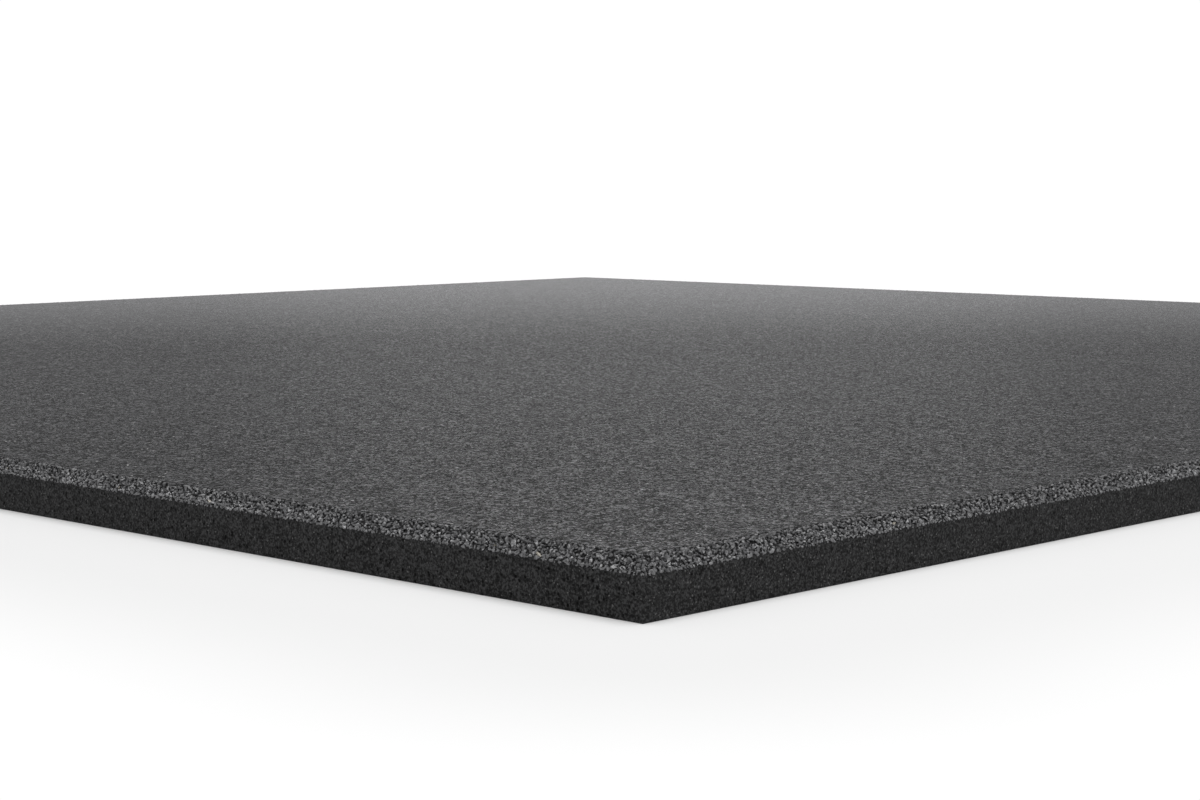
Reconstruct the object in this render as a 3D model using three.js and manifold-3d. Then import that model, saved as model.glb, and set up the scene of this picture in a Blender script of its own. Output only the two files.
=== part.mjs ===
// Rubber gym floor tile: a square slab pressed from crumb rubber, with a chamfer round its top edge.
// Millimetres, +Z up. The origin is the centre of the underside, and the sides face X and Y.
import * as THREE from "three";
import { mergeVertices } from "three/addons/utils/BufferGeometryUtils.js";
import Module from "manifold-3d";

const wasm = await Module();
wasm.setup();

// Driving dimensions.
const tileLength = 1000; // along X
const tileWidth = 1000; // along Y
const tileThickness = 15;
const chamferRun = 4; // how far the chamfer reaches in over the top face
const chamferDrop = 4; // how far the chamfer comes down each side
const sectionOverrun = 10; // how far each long section passes the tile's sides before the two are crossed

const sideHeight = tileThickness - chamferDrop;

const blackRubber = new THREE.MeshStandardMaterial({
  color: 0x313132,
  roughness: 0.8,
  metalness: 0,
});

// The tile's outline seen from one side: flat underside, square sides, chamfered top corners.
function chamferedSection(span) {
  const half = span / 2;
  const section = new THREE.Shape();
  section.moveTo(-half, 0);
  section.lineTo(half, 0);
  section.lineTo(half, sideHeight);
  section.lineTo(half - chamferRun, tileThickness);
  section.lineTo(-half + chamferRun, tileThickness);
  section.lineTo(-half, sideHeight);
  section.closePath();
  return section;
}

// A long bar of that section, standing upright and running along Y, centred on the origin.
function sectionBar(span, runLength) {
  const depth = runLength + 2 * sectionOverrun;
  const bar = new THREE.ExtrudeGeometry(chamferedSection(span), {
    depth,
    bevelEnabled: false,
  });
  bar.rotateX(Math.PI / 2);
  bar.translate(0, depth / 2, 0);
  return bar;
}

function toSolid(geometry) {
  const bare = geometry.clone();
  bare.deleteAttribute("normal");
  bare.deleteAttribute("uv");
  const merged = mergeVertices(bare);
  return new wasm.Manifold(
    new wasm.Mesh({
      numProp: 3,
      vertProperties: merged.attributes.position.array,
      triVerts: new Uint32Array(merged.index.array),
    }),
  );
}

function toGeometry(solid) {
  const mesh = solid.getMesh();
  const geometry = new THREE.BufferGeometry();
  geometry.setAttribute(
    "position",
    new THREE.BufferAttribute(mesh.vertProperties, 3),
  );
  geometry.setIndex(new THREE.BufferAttribute(mesh.triVerts, 1));
  return geometry;
}

// Two bars crossed at right angles share exactly the slab, with mitred chamfers at its four corners.
function floorTile() {
  const acrossX = sectionBar(tileLength, tileWidth);
  const acrossY = sectionBar(tileWidth, tileLength);
  acrossY.rotateZ(Math.PI / 2);
  const slab = toSolid(acrossX).intersect(toSolid(acrossY));
  const geometry = toGeometry(slab).toNonIndexed();
  geometry.computeVertexNormals();
  const tile = new THREE.Mesh(geometry, blackRubber);
  tile.name = "floor_tile";
  return tile;
}

const gymFloorTile = new THREE.Group();
gymFloorTile.add(floorTile());

export default gymFloorTile;
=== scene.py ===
# Dresses the rubber gym floor tile: a slab of pressed crumb rubber with open crumbs along its chamfer.
# Metres, +Z up, the origin at the centre of the underside.
import math

import bmesh
import bpy
import numpy as np
from mathutils import Matrix, Vector


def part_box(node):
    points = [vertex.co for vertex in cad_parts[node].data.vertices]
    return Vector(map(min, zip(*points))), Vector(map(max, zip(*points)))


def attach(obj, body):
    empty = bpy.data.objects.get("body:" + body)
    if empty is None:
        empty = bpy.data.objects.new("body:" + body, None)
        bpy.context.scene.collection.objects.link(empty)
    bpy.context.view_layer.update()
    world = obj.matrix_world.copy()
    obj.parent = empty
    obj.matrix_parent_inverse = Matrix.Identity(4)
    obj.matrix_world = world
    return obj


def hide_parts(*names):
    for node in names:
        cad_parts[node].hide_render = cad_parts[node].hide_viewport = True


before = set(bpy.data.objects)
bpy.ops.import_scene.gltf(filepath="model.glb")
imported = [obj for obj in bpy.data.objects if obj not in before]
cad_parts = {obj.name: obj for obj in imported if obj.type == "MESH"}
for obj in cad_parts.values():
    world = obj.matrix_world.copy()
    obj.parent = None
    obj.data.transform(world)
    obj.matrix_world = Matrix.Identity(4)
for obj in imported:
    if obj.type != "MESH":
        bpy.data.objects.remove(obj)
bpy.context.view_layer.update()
tileLow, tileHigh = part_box("floor_tile")
mm = 0.001
print("frame loaded, tile", [round(v, 4) for v in tileHigh - tileLow])


# One output of a node. Sums, products and comparisons of wires add Math nodes to their finish.
class Wire:
    def __init__(self, finish, socket):
        self.finish = finish
        self.socket = socket

    # Another output of the same node.
    def out(self, name):
        return Wire(self.finish, self.socket.node.outputs[name])

    def __add__(self, other):
        return self.finish.maths("ADD", self, other)

    def __radd__(self, other):
        return self.finish.maths("ADD", other, self)

    def __sub__(self, other):
        return self.finish.maths("SUBTRACT", self, other)

    def __rsub__(self, other):
        return self.finish.maths("SUBTRACT", other, self)

    def __mul__(self, other):
        return self.finish.maths("MULTIPLY", self, other)

    def __rmul__(self, other):
        return self.finish.maths("MULTIPLY", other, self)

    def __gt__(self, other):
        return self.finish.maths("GREATER_THAN", self, other)

    # 0 below low and 1 above high, with an eased slope between.
    def rise(self, low, high):
        return self.finish.node(
            "ShaderNodeMapRange",
            {"interpolation_type": "SMOOTHSTEP"},
            {"Value": self, "From Min": low, "From Max": high},
        )

    # Straight from toLow at 0 to toHigh at 1.
    def between(self, toLow, toHigh):
        sockets = {"Value": self, "To Min": toLow, "To Max": toHigh}
        return self.finish.node("ShaderNodeMapRange", {}, sockets)


# The nodes of a material or a world. node() adds one node and gives the wire of its first output.
class Finish:
    def __init__(self, owner):
        owner.use_nodes = True
        self.owner = owner
        self.tree = owner.node_tree
        self.tree.nodes.clear()

    def node(self, kind, settings=None, sockets=None):
        made = self.tree.nodes.new(kind)
        for name, value in (settings or {}).items():
            setattr(made, name, value)
        for name, value in (sockets or {}).items():
            socket = made.inputs[name] if isinstance(name, int) else self.shown(made.inputs, name)
            if isinstance(value, Wire):
                self.tree.links.new(value.socket, socket)
            else:
                socket.default_value = value
        return Wire(self, next((s for s in made.outputs if s.enabled), None))

    # A Mix node has several sockets of one name, and only those of its data type are enabled.
    def shown(self, sockets, name):
        return next(s for s in sockets if s.enabled and s.name == name)

    def maths(self, operation, *values):
        return self.node("ShaderNodeMath", {"operation": operation}, dict(enumerate(values)))

    def vector(self, operation, *values):
        return self.node("ShaderNodeVectorMath", {"operation": operation}, dict(enumerate(values)))

    def mixColour(self, factor, low, high):
        return self.node("ShaderNodeMix", {"data_type": "RGBA"}, {"Factor": factor, "A": low, "B": high})

    def mixValue(self, factor, low, high):
        return self.node("ShaderNodeMix", {"data_type": "FLOAT"}, {"Factor": factor, "A": low, "B": high})

    def objectPlace(self):
        return self.node("ShaderNodeTexCoord").out("Object")

    def noise(self, place, size, detail=2.0, roughness=0.5):
        sockets = {"Vector": place, "Scale": 1 / size, "Detail": detail, "Roughness": roughness}
        return self.node("ShaderNodeTexNoise", {}, sockets)

    # Moves a place about by a noise, so that the cells of a pattern lose their straight borders.
    def warped(self, place, size, reach):
        wander = self.noise(place, size, 1.0).out("Color")
        centred = self.vector("SUBTRACT", wander, (0.5, 0.5, 0.5))
        push = self.node("ShaderNodeVectorMath", {"operation": "SCALE"}, {0: centred, "Scale": reach})
        return self.vector("ADD", place, push)

    def cells(self, place, size):
        return self.node("ShaderNodeTexVoronoi", {"feature": "F1"}, {"Vector": place, "Scale": 1 / size})

    # Three random numbers for each cell, as Red, Green and Blue.
    def chance(self, cells):
        return self.node("ShaderNodeSeparateColor", {}, {"Color": cells.out("Color")})

    # How far a spot is from the border of its cell, in cells.
    def cellEdge(self, place, size):
        settings = {"feature": "DISTANCE_TO_EDGE"}
        return self.node("ShaderNodeTexVoronoi", settings, {"Vector": place, "Scale": 1 / size})

    # Each cell leans its own way: the height of a plane through its middle, in metres for a slope of 1.
    def cellTilt(self, place, cells):
        local = self.vector("SUBTRACT", place, cells.out("Position"))
        lean = self.vector("SUBTRACT", cells.out("Color"), (0.5, 0.5, 0.5))
        return self.vector("DOT_PRODUCT", local, lean).out("Value")

    # A round spot in some of the cells: 1 inside the rim and 0 outside it, with the rim in cells.
    def spots(self, cells, share, rim):
        return (self.chance(cells) > 1 - share) * (1 - cells.out("Distance").rise(*rim))

    # A rubber surface with a relief, whose height is in metres.
    def rubber(self, tone, roughness, specular, height):
        bump = self.node("ShaderNodeBump", {}, {"Height": height, "Strength": 1.0, "Distance": 1.0})
        sockets = {"Base Color": tone, "Roughness": roughness, "Specular IOR Level": specular}
        return self.node("ShaderNodeBsdfPrincipled", {}, {**sockets, "Normal": bump})

    def finished(self, surface, output="ShaderNodeOutputMaterial"):
        self.node(output, {}, {"Surface": surface})
        return self.owner


# The pressed faces: flat granules of two sizes that lean a little, sunk gaps between them, and a hole
# wherever a granule is missing. Gaps and holes are painted dark as their shade; a pale sheen is painted on
# in low views.
pressedLook = {
    "granule": 1.15 * mm,
    "smallGranule": 0.55 * mm,
    "largeShare": 0.40,  # of the granules stay whole; the rest are broken into small ones
    "warpSize": 0.9 * mm,
    "warpReach": 0.5 * mm,
    "lean": 0.60,  # slope of a granule's face
    "largeGap": 0.18,  # how wide the gaps round the large granules are, in granules
    "smallGap": 0.30,
    "gapDepth": 0.25 * mm,
    "openSize": 1.9 * mm,  # the distance over which the gaps open and close
    "openRange": (0.35, 0.65),
    "openness": (0.25, 1.0),
    "hole": 2.8 * mm,  # one cell, where a granule may be missing
    "holeShare": 0.20,
    "holeRim": (0.17, 0.27),
    "grit": 0.55 * mm,
    "gritHeight": 0.20 * mm,
    "gritRange": (0.38, 0.62),
    "patch": 14 * mm,
    "mottle": (0.58, 0.32, 0.10),  # what a granule's own tone, the grit and the patches add to the shade
    "shadeRange": (0.37, 0.79),
    # Painted shade: the tone of the gaps and holes, where the granules' shade would fall.
    "paintedShadeTone": (0.004, 0.004, 0.004, 1),
    "lowTone": (0.005, 0.005, 0.005, 1),
    "highTone": (0.0445, 0.0445, 0.0505, 1),
    "fleckTone": (0.17, 0.15, 0.12, 1),
    "fleckShare": 0.004,
    "roughness": (0.30, 0.80),
    "specular": 0.20,
    # Painted sheen: the pale tone mixed in by the angle of view, standing for the granules' reflection.
    "paintedSheenTone": (0.850, 0.850, 0.865, 1),
    # Where each part of the painted sheen sets in and where it is full, from 0 in a square view to 1 edge
    # on, and its strength.
    "paintedFaceSheen": (0.45, 0.86, 0.060),  # on the granules' faces alone
    "paintedGlint": (0.45, 0.86, 0.60),  # on the flecks alone
    "paintedLowSheen": (0.87, 0.96, 0.033),
    "paintedEdgeSheen": (0.925, 0.975, 0.26),
}


def pressedRubber():
    look = pressedLook
    finish = Finish(bpy.data.materials.new("pressed_rubber"))
    place = finish.objectPlace()
    bent = finish.warped(place, look["warpSize"], look["warpReach"])
    large = finish.cells(bent, look["granule"])
    small = finish.cells(bent, look["smallGranule"])
    largeChance = finish.chance(large)
    smallChance = finish.chance(small)
    whole = largeChance > 1 - look["largeShare"]
    lean = finish.mixValue(whole, finish.cellTilt(bent, small), finish.cellTilt(bent, large))
    largeGap = 1 - finish.cellEdge(bent, look["granule"]).rise(0.0, look["largeGap"])
    smallGap = 1 - finish.cellEdge(bent, look["smallGranule"]).rise(0.0, look["smallGap"])
    openness = finish.noise(place, look["openSize"]).rise(*look["openRange"])
    gap = finish.maths("MAXIMUM", largeGap, smallGap * (1 - whole)) * openness.between(*look["openness"])
    hole = finish.spots(finish.cells(bent, look["hole"]), look["holeShare"], look["holeRim"])
    gap = finish.maths("MAXIMUM", gap, hole)
    grit = finish.noise(place, look["grit"], 2.0, 0.6)
    height = lean * look["lean"] - gap * look["gapDepth"] + grit * look["gritHeight"]

    ownTone = finish.mixValue(whole, smallChance, largeChance.out("Green"))
    patches = finish.noise(place, look["patch"])
    ownShare, gritShare, patchShare = look["mottle"]
    mottle = ownTone * ownShare + grit.rise(*look["gritRange"]) * gritShare + patches * patchShare
    shade = mottle.rise(*look["shadeRange"])
    tone = finish.mixColour(shade, look["lowTone"], look["highTone"])
    fleck = smallChance.out("Blue") > 1 - look["fleckShare"]
    tone = finish.mixColour(fleck, tone, look["fleckTone"])
    # Painted shade: the gaps and holes take the dark tone, standing for the shade in them.
    tone = finish.mixColour(gap, tone, look["paintedShadeTone"])
    surface = finish.rubber(tone, (1 - shade).between(*look["roughness"]), look["specular"], height)

    # Painted sheen and glints: in a low view a pale matt shader is mixed in on the granules' faces and
    # flecks, and almost edge on over all of the face, as a painted reflection of the bright backdrop.
    facing = finish.node("ShaderNodeLayerWeight", {}, {"Blend": 0.5}).out("Facing")

    def part(name):
        start, full, strength = look[name]
        return facing.rise(start, full) * strength

    faces = (part("paintedFaceSheen") * shade + part("paintedGlint") * fleck) * (1 - gap)
    paintedSheen = faces + part("paintedLowSheen") + part("paintedEdgeSheen")
    paintedSheenShader = finish.node("ShaderNodeBsdfDiffuse", {}, {"Color": look["paintedSheenTone"]})
    return finish.finished(finish.node("ShaderNodeMixShader", {}, {0: paintedSheen, 1: surface, 2: paintedSheenShader}))


# The sides were cut: a close flat section through the granules, with small open pits, painted dark as their
# shade.
cutLook = {
    "granule": 0.85 * mm,
    "warpSize": 0.8 * mm,
    "warpReach": 0.5 * mm,
    "lean": 0.30,
    "pit": 1.60 * mm,  # one cell, where there may be a pit
    "pitShare": 0.32,
    "pitRim": (0.20, 0.32),
    "pitDepth": 0.30 * mm,
    "speck": 0.55 * mm,  # the cut face of a small paler granule
    "speckShare": 0.04,
    "speckRim": (0.30, 0.50),
    "grit": 0.52 * mm,
    "gritHeight": 0.25 * mm,
    "gritRange": (0.43, 0.62),
    "patch": 2.4 * mm,
    "mottle": (0.25, 0.65, 0.10),  # as for the pressed faces
    # Painted shade: the tone of the pits, where their shade would fall.
    "paintedShadeTone": (0.0005, 0.0005, 0.0005, 1),
    "lowTone": (0.001, 0.001, 0.001, 1),
    "highTone": (0.060, 0.060, 0.061, 1),
    "speckTone": (0.11, 0.11, 0.11, 1),
    "roughness": (0.66, 0.86),
    "specular": 0.08,
}


def cutRubber():
    look = cutLook
    finish = Finish(bpy.data.materials.new("cut_rubber"))
    place = finish.objectPlace()
    bent = finish.warped(place, look["warpSize"], look["warpReach"])
    granules = finish.cells(bent, look["granule"])
    pit = finish.spots(finish.cells(bent, look["pit"]), look["pitShare"], look["pitRim"])
    speck = finish.spots(finish.cells(bent, look["speck"]), look["speckShare"], look["speckRim"])
    grit = finish.noise(place, look["grit"], 2.0, 0.6)
    patches = finish.noise(place, look["patch"])
    tilt = finish.cellTilt(bent, granules)
    height = tilt * look["lean"] - pit * look["pitDepth"] + grit * look["gritHeight"]

    ownShare, gritShare, patchShare = look["mottle"]
    shade = finish.chance(granules) * ownShare + grit.rise(*look["gritRange"]) * gritShare
    shade = shade + patches * patchShare
    tone = finish.mixColour(shade, look["lowTone"], look["highTone"])
    tone = finish.mixColour(speck, tone, look["speckTone"])
    # Painted shade: the pits take the dark tone, standing for the shade in them.
    tone = finish.mixColour(pit, tone, look["paintedShadeTone"])
    return finish.finished(finish.rubber(tone, shade.between(*look["roughness"]), look["specular"], height))


# The crumbs that stand open on the chamfer. Each has its own random tone, darkened as painted shade towards
# the tile's top edge, which its mesh holds as an attribute.
crumbLook = {
    "grit": 0.32 * mm,
    "gritHeight": 0.10 * mm,
    "tear": 0.75 * mm,
    "tearHeight": 0.16 * mm,
    "mottle": (0.55, 0.45),  # what a crumb's own tone and the grit add to the shade
    "lowTone": (0.016, 0.016, 0.017, 1),
    "highTone": (0.182, 0.182, 0.189, 1),
    "fleckTone": (0.22, 0.20, 0.16, 1),
    "fleckShare": 0.004,
    "roughness": (0.22, 0.50),
    "specular": 1.0,
}


def crumbRubber():
    look = crumbLook
    finish = Finish(bpy.data.materials.new("open_crumb_rubber"))
    place = finish.objectPlace()
    # Each crumb's random tone, with its painted shade near the tile's top edge.
    ownTone = finish.node("ShaderNodeAttribute", {"attribute_name": "crumb_tone_and_painted_shade"}).out("Fac")
    grit = finish.noise(place, look["grit"], 3.0, 0.6)
    tears = finish.noise(place, look["tear"], 2.0, 0.6)
    height = grit * look["gritHeight"] + tears * look["tearHeight"]

    ownShare, gritShare = look["mottle"]
    shade = ownTone * ownShare + grit * gritShare
    tone = finish.mixColour(shade, look["lowTone"], look["highTone"])
    tone = finish.mixColour(ownTone > 1 - look["fleckShare"], tone, look["fleckTone"])
    surface = finish.rubber(tone, (1 - shade).between(*look["roughness"]), look["specular"], height)
    return finish.finished(surface)


# The dark bed between the crumbs, where the chamfer broke open.
bedLook = {
    "lump": 0.6 * mm,
    "lumpHeight": 0.3 * mm,
    "lumpRange": (0.3, 0.7),
    "lowTone": (0.004, 0.004, 0.004, 1),
    "highTone": (0.032, 0.032, 0.033, 1),
    "roughness": 0.8,
    "specular": 0.1,
}


def bedRubber():
    look = bedLook
    finish = Finish(bpy.data.materials.new("crumb_bed_rubber"))
    lumps = finish.noise(finish.objectPlace(), look["lump"], 3.0, 0.6)
    tone = finish.mixColour(lumps.rise(*look["lumpRange"]), look["lowTone"], look["highTone"])
    height = lumps * look["lumpHeight"]
    return finish.finished(finish.rubber(tone, look["roughness"], look["specular"], height))


def addPiece(name, mesh, materials):
    piece = bpy.data.objects.new(name, mesh)
    bpy.context.collection.objects.link(piece)
    for material in materials:
        mesh.materials.append(material)
    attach(piece, "root")
    return piece


# The slab: the tile's box, whose chamfer lies a little under the real one as a bed for the crumbs.
slab = {
    "chamfer": 4.0 * mm,
    "bedDepth": 0.50 * mm,  # from the chamfer's own plane down to the bed, square to it
    "topDrop": 0.10 * mm,  # the pressed face lies this far under the highest crumbs
    "lip": 0.40 * mm,  # the cut side ends this far under the chamfer's own lower edge
    "cornerRound": 0.2 * mm,  # the upright corners and the bottom edges
    "sameLevel": 0.01 * mm,  # points whose heights differ by less are level
    "flat": 0.95,  # faces whose normals stand at least this steep are pressed
    "sloped": 0.40,  # of the others, those that look up at least this steep are the bed
}


def bevel(bm, edges, offset, segments):
    bmesh.ops.bevel(
        bm, geom=edges, offset=offset, segments=segments, profile=0.5, affect="EDGES", material=-1
    )


# Edges whose two ends are both at one height.
def levelEdges(bm, height):
    return [e for e in bm.edges if all(abs(v.co.z - height) < slab["sameLevel"] for v in e.verts)]


def buildSlab(pressed, cut, bed):
    low, high = tileLow.copy(), tileHigh.copy()
    high.z -= slab["topDrop"]
    bm = bmesh.new()
    place = Matrix.Translation((low + high) / 2) @ Matrix.Diagonal((*(high - low), 1))
    bmesh.ops.create_cube(bm, size=1.0, matrix=place)
    sunk = slab["chamfer"] - slab["topDrop"] + slab["bedDepth"] * math.sqrt(2)
    bevel(bm, levelEdges(bm, high.z), sunk, 1)
    # The bevel's lower edge moves up to the lip, so that the cut side is as high as the real one.
    lipHeight = tileHigh.z - slab["chamfer"] - slab["lip"]
    lowerEdge = [v for v in bm.verts if abs(v.co.z - (high.z - sunk)) < slab["sameLevel"]]
    bmesh.ops.translate(bm, verts=lowerEdge, vec=(0, 0, lipHeight - (high.z - sunk)))
    # The upright corners are the only edges that climb further than the bed does.
    upright = [e for e in bm.edges if abs(e.verts[0].co.z - e.verts[1].co.z) > sunk + mm]
    bevel(bm, upright + levelEdges(bm, low.z), slab["cornerRound"], 2)
    bm.normal_update()
    materials = [pressed, cut, bed]
    for face in bm.faces:
        steepness = face.normal.z
        rubber = pressed if abs(steepness) > slab["flat"] else bed if steepness > slab["sloped"] else cut
        face.material_index = materials.index(rubber)
    mesh = bpy.data.meshes.new("tile_slab")
    bm.to_mesh(mesh)
    bm.free()
    piece = addPiece("tile_slab", mesh, materials)
    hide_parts("floor_tile")


# The crumbs on the chamfer. A whole layer of coarse ones lies on the bed, with fine chips in and on it.
crumbs = {
    "seed": 41,
    "spill": (0.20 * mm, 0.30 * mm),  # past the chamfer's lower and upper edge
    "scatter": 0.55,  # how far a crumb leaves its place in its row, in steps
    "sizes": (1.5, 2.5),  # the beta distribution of their widths: most are small
    "inside": 0.22,  # of its width: a crumb's middle stays this far inside the tile's top and side
    "topPlay": 0.24 * mm,  # how far under the tile's top a crumb may be pressed flat
    "sidePlay": 0.20 * mm,  # the same at the tile's side
    # Painted shade: across the chamfer the crumbs' tone darkens towards its upper edge, in the crease under
    # the tile's top.
    "rim": (0.4, 0.9),  # where the crumbs start to darken and are darkest, from the chamfer's lower edge
    "paintedRimShade": 0.65,  # how much darker they are there
    "jitter": 0.16,  # how far the corners of a shape that is 1 across are moved
    "coarse": {
        "shapes": 24,
        "rows": 8,
        "columns": 800,
        "width": (0.72 * mm, 1.65 * mm),
        "squash": ((0.85, 0.6, 0.4), (1.45, 1.05, 0.75)),
        "flatSide": (0.18, 0.32),  # how far from the middle one side is pressed flat
        "sinkIn": (0.15, 0.60),  # how much of its half width a middle lies under the chamfer's plane
    },
    "fine": {
        "shapes": 16,
        "rows": 10,
        "columns": 470,
        "width": (0.40 * mm, 0.90 * mm),
        "squash": ((0.8, 0.6, 0.4), (1.3, 1.0, 0.8)),
        "sinkIn": (-0.10, 0.90),
    },
}


# The points and triangles of a finished shape.
def shapeArrays(bm):
    bmesh.ops.triangulate(bm, faces=bm.faces[:])
    bmesh.ops.recalc_face_normals(bm, faces=bm.faces[:])
    bm.verts.index_update()
    points = np.array([vert.co for vert in bm.verts])
    faces = np.array([[vert.index for vert in face.verts] for face in bm.faces])
    bm.free()
    return points, faces


# A torn crumb about 1 across: a flattened ball with jittered corners and one side pressed flat.
def coarseShape(chance):
    look = crumbs["coarse"]
    bm = bmesh.new()
    bmesh.ops.create_icosphere(bm, subdivisions=1, radius=0.5)
    squash = chance.uniform(*look["squash"])
    flatSide = Vector(chance.normal(size=3)).normalized()
    reach = chance.uniform(*look["flatSide"])
    for vert in bm.verts:
        vert.co = Vector(np.array(vert.co) * squash + chance.uniform(-crumbs["jitter"], crumbs["jitter"], 3))
        vert.co -= flatSide * max(vert.co.dot(flatSide) - reach, 0)
    return shapeArrays(bm)


# A sharp chip about 1 across: a flattened block with jittered corners.
def fineShape(chance):
    bm = bmesh.new()
    bmesh.ops.create_cube(bm, size=0.75)
    squash = chance.uniform(*crumbs["fine"]["squash"])
    for vert in bm.verts:
        vert.co = Vector(np.array(vert.co) * squash + chance.uniform(-crumbs["jitter"], crumbs["jitter"], 3))
    return shapeArrays(bm)


# Turns by random angles about random axes, one 3x3 for each crumb.
def randomTurns(chance, count):
    q = chance.normal(size=(count, 4))
    w, x, y, z = (q / np.linalg.norm(q, axis=1, keepdims=True)).T
    rows = [
        [1 - 2 * (y * y + z * z), 2 * (x * y - z * w), 2 * (x * z + y * w)],
        [2 * (x * y + z * w), 1 - 2 * (x * x + z * z), 2 * (y * z - x * w)],
        [2 * (x * z - y * w), 2 * (y * z + x * w), 1 - 2 * (x * x + y * y)],
    ]
    return np.array(rows).transpose(2, 0, 1)


# Lays one size of crumb on the chamfer of the side that faces -Y, in jittered rows, and gives its points,
# faces and tones. A crumb that would pass the tile's top or side is pressed flat there.
def layCrumbs(look, shapes, chance):
    half, run = tileHigh.x, slab["chamfer"]
    row, column = np.meshgrid(np.arange(look["rows"]), np.arange(look["columns"]))
    row, column = row.ravel(), column.ravel()
    scatter = chance.uniform(-crumbs["scatter"], crumbs["scatter"], (2, len(row)))
    lowSpill, highSpill = crumbs["spill"]
    bandWidth = run * math.sqrt(2) + lowSpill + highSpill
    across = (row + 0.5 + scatter[0]) / look["rows"] * bandWidth - lowSpill
    step = column + 0.25 + 0.5 * (row % 2)  # every second row is shifted by half a step
    x = ((step + scatter[1]) / look["columns"] * 2 - 1) * half
    inward = across / math.sqrt(2)
    kept = np.abs(x) < half - np.clip(inward, 0, run)  # the crumbs stop at the mitre with the next side
    x, inward = x[kept], inward[kept]
    count = len(x)
    smallest, largest = look["width"]
    width = smallest + (largest - smallest) * chance.beta(*crumbs["sizes"], count)
    sink = chance.uniform(*look["sinkIn"], count) * width / 2 / math.sqrt(2)
    middle = np.stack([x, -half + inward + sink, tileHigh.z - run + inward - sink], axis=1)
    sideLimit = half - chance.uniform(0.0, crumbs["sidePlay"], count)
    topLimit = tileHigh.z - chance.uniform(0.0, crumbs["topPlay"], count)
    middle[:, 2] = np.minimum(middle[:, 2], topLimit - crumbs["inside"] * width)
    middle[:, 1] = np.maximum(middle[:, 1], -sideLimit + crumbs["inside"] * width)
    turns = randomTurns(chance, count) * width[:, None, None]
    kind = chance.integers(0, len(shapes), count)
    # Painted shade: the crumbs' tone darkens towards the chamfer's upper edge, in the crease under the
    # tile's top.
    rim = np.interp(inward / run, crumbs["rim"], (0, 1))
    tone = chance.uniform(0, 1, count) * (1 - crumbs["paintedRimShade"] * rim)
    start = 0
    laid = []
    for number, (points, faces) in enumerate(shapes):
        chosen = np.flatnonzero(kind == number)
        placed = np.einsum("nij,pj->npi", turns[chosen], points) + middle[chosen, None]
        edge = sideLimit[chosen, None]
        placed[:, :, 0] = np.clip(placed[:, :, 0], -edge, edge)
        placed[:, :, 1] = np.clip(placed[:, :, 1], -edge, edge)
        placed[:, :, 2] = np.minimum(placed[:, :, 2], topLimit[chosen, None])
        offsets = start + np.arange(len(chosen)) * len(points)
        numbered = (faces[None] + offsets[:, None, None]).reshape(-1, 3)
        laid.append((placed.reshape(-1, 3), numbered, np.repeat(tone[chosen], len(points))))
        start += len(chosen) * len(points)
    return [np.concatenate(part) for part in zip(*laid)]


# All the crumbs of one side, turned to it, as one mesh.
def buildCrumbs(name, turn, coarseShapes, fineShapes, chance, material):
    points, faces, tones = layCrumbs(crumbs["coarse"], coarseShapes, chance)
    finePoints, fineFaces, fineTones = layCrumbs(crumbs["fine"], fineShapes, chance)
    faces = np.concatenate([faces, fineFaces + len(points)])
    points = np.concatenate([points, finePoints]) @ np.array(turn.to_3x3()).T
    mesh = bpy.data.meshes.new(name)
    mesh.from_pydata(points.tolist(), [], faces.tolist())
    tone = mesh.attributes.new("crumb_tone_and_painted_shade", "FLOAT", "POINT")
    tone.data.foreach_set("value", np.concatenate([tones, fineTones]))
    print(name, len(mesh.polygons), "triangles")
    addPiece(name, mesh, [material])


# The photo's view: a long lens low over the floor, looking along the tile's diagonal.
photoCamera = {
    "lens": 71.04,  # millimetres on a 36 mm wide sensor
    "sensor": 36,
    "clip": (0.01, 100),
    "back": 520.8 * mm,  # from the near corner, back along the diagonal
    "aside": -17.5 * mm,  # to the right of the diagonal
    "height": 100.5 * mm,
    "yaw": 0.88,  # degrees to the right of the diagonal
    "pitch": 5.51,  # degrees down
    "roll": -0.12,
}

ahead = Vector((-1, 1, 0)).normalized()  # along the diagonal, away from the camera
right = Vector((1, 1, 0)).normalized()
up = Vector((0, 0, 1))


def buildCamera():
    view = photoCamera
    yaw, pitch, roll = (math.radians(view[key]) for key in ("yaw", "pitch", "roll"))
    forward = (right * math.sin(yaw) + ahead * math.cos(yaw)) * math.cos(pitch) - up * math.sin(pitch)
    level = right * math.cos(yaw) - ahead * math.sin(yaw)
    side = level * math.cos(roll) + level.cross(forward) * math.sin(roll)
    data = bpy.data.cameras.new("photo_camera")
    data.lens = view["lens"]
    data.sensor_width = view["sensor"]
    data.clip_start, data.clip_end = view["clip"]
    camera = bpy.data.objects.new("photo_camera", data)
    turn = Matrix((side, side.cross(forward), -forward)).transposed()
    nearCorner = Vector((tileHigh.x, tileLow.y, 0))
    spot = nearCorner + right * view["aside"] - ahead * view["back"] + up * view["height"]
    camera.matrix_world = Matrix.Translation(spot) @ turn.to_4x4()
    bpy.context.collection.objects.link(camera)
    bpy.context.scene.camera = camera


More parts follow.
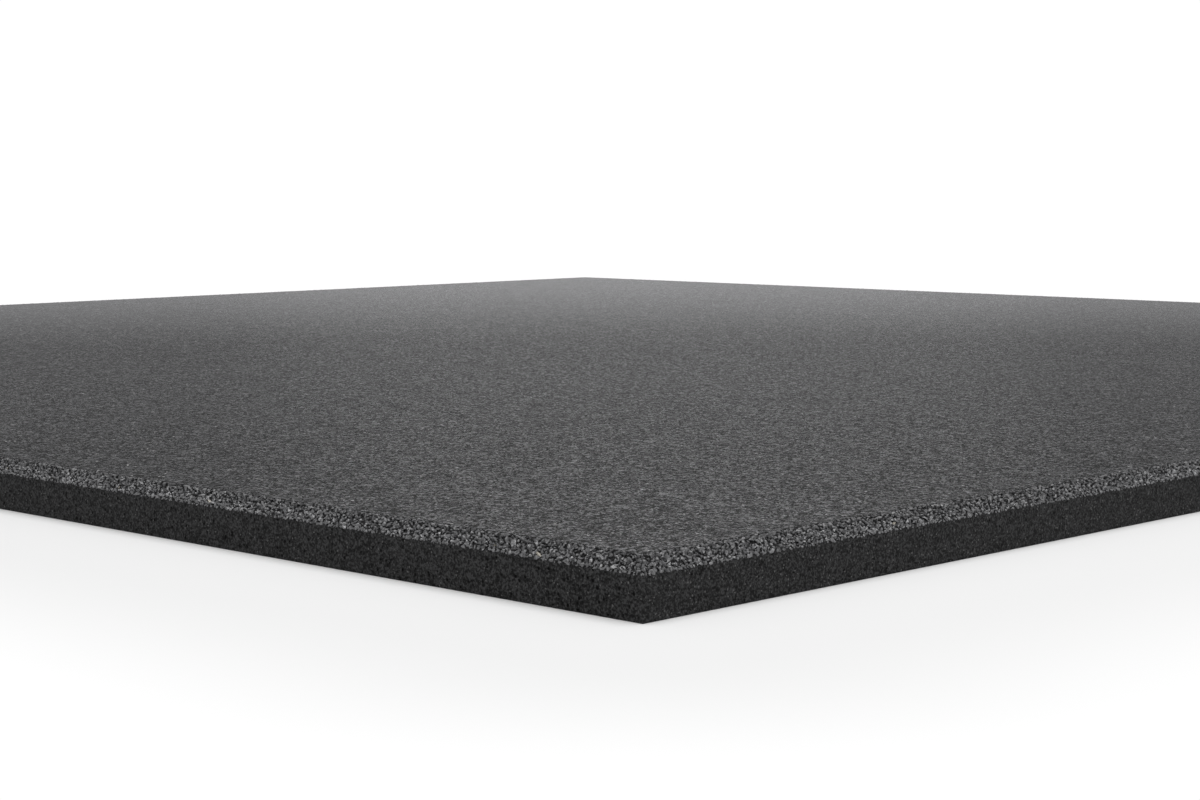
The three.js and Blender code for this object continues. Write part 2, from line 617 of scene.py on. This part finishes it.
# A soft box overhead on the camera's side, a low oval screen behind the tile and a dim white room.
studio = {
    "box": {"shape": "SQUARE", "size": (3.2, 3.2), "power": 101.0, "target": (0.1, -0.1, 0)},
    "boxSpot": (0.77, -0.39, 2.7),
    "screen": {"shape": "ELLIPSE", "size": (1.35, 0.26), "power": 1.75, "target": (0, 0, 0.1)},
    "screenDistance": 2.6,
    "screenAside": 0.12,  # to the right of the diagonal
    "room": 0.42,  # how bright the white world is to the tile
    "backdrop": 1.02,  # and to the camera
    "floorReach": 30,  # metres each way
    "floorDrop": 0.05 * mm,  # under the tile
    "floorTone": (0.66, 0.66, 0.66, 1),
    "floorGlow": (0.04, 0.145),  # how far from the tile the floor starts to fade into the white, and ends
}


def areaLight(name, look, spot):
    data = bpy.data.lights.new(name, "AREA")
    data.shape = look["shape"]
    data.size, data.size_y = look["size"]
    data.energy = look["power"]
    lamp = bpy.data.objects.new(name, data)
    lamp.location = spot
    lamp.rotation_euler = (Vector(look["target"]) - Vector(spot)).to_track_quat("-Z", "Y").to_euler()
    lamp.visible_camera = False
    bpy.context.collection.objects.link(lamp)


def buildFloor():
    bm = bmesh.new()
    place = Matrix.Translation((0, 0, -studio["floorDrop"]))
    bmesh.ops.create_grid(bm, x_segments=1, y_segments=1, size=studio["floorReach"], matrix=place)
    mesh = bpy.data.meshes.new("studio_floor")
    bm.to_mesh(mesh)
    bm.free()
    finish = Finish(bpy.data.materials.new("studio_floor_white"))
    spot = finish.node("ShaderNodeSeparateXYZ", {}, {0: finish.objectPlace()})
    past = [finish.maths("ABSOLUTE", spot.out(axis)) - tileHigh.x for axis in "XY"]
    past = [finish.maths("MAXIMUM", value, 0.0) for value in past]
    distance = finish.maths("SQRT", past[0] * past[0] + past[1] * past[1])
    white = finish.node("ShaderNodeBsdfDiffuse", {}, {"Color": studio["floorTone"]})
    glow = finish.node("ShaderNodeEmission", {}, {"Color": (1, 1, 1, 1), "Strength": studio["backdrop"]})
    fade = distance.rise(*studio["floorGlow"])
    finish.finished(finish.node("ShaderNodeMixShader", {}, {0: fade, 1: white, 2: glow}))
    floor = bpy.data.objects.new("studio_floor", mesh)
    mesh.materials.append(finish.owner)
    bpy.context.collection.objects.link(floor)


def buildStudio():
    bpy.context.scene.view_settings.view_transform = "Standard"
    areaLight("soft_box", studio["box"], studio["boxSpot"])
    screenSpot = ahead * studio["screenDistance"] + right * studio["screenAside"]
    screenSpot.z = studio["screen"]["size"][1] / 2  # it stands on the floor
    areaLight("back_screen", studio["screen"], screenSpot)
    world = Finish(bpy.data.worlds.new("studio_white"))
    cameraRay = world.node("ShaderNodeLightPath").out("Is Camera Ray")
    strength = cameraRay.between(studio["room"], studio["backdrop"])
    white = world.node("ShaderNodeBackground", {}, {"Color": (1, 1, 1, 1), "Strength": strength})
    bpy.context.scene.world = world.finished(white, "ShaderNodeOutputWorld")
    buildFloor()


buildCamera()
print("camera set")
buildStudio()
print("studio set")
buildSlab(pressedRubber(), cutRubber(), bedRubber())
print("slab built")
chance = np.random.default_rng(crumbs["seed"])
coarseShapes = [coarseShape(chance) for _ in range(crumbs["coarse"]["shapes"])]
fineShapes = [fineShape(chance) for _ in range(crumbs["fine"]["shapes"])]
openCrumb = crumbRubber()
for quarter, sideName in enumerate(("front", "right", "back", "left")):
    turn = Matrix.Rotation(math.radians(90 * quarter), 4, "Z")
    buildCrumbs("chamfer_crumbs_" + sideName, turn, coarseShapes, fineShapes, chance, openCrumb)
print("crumbs built")
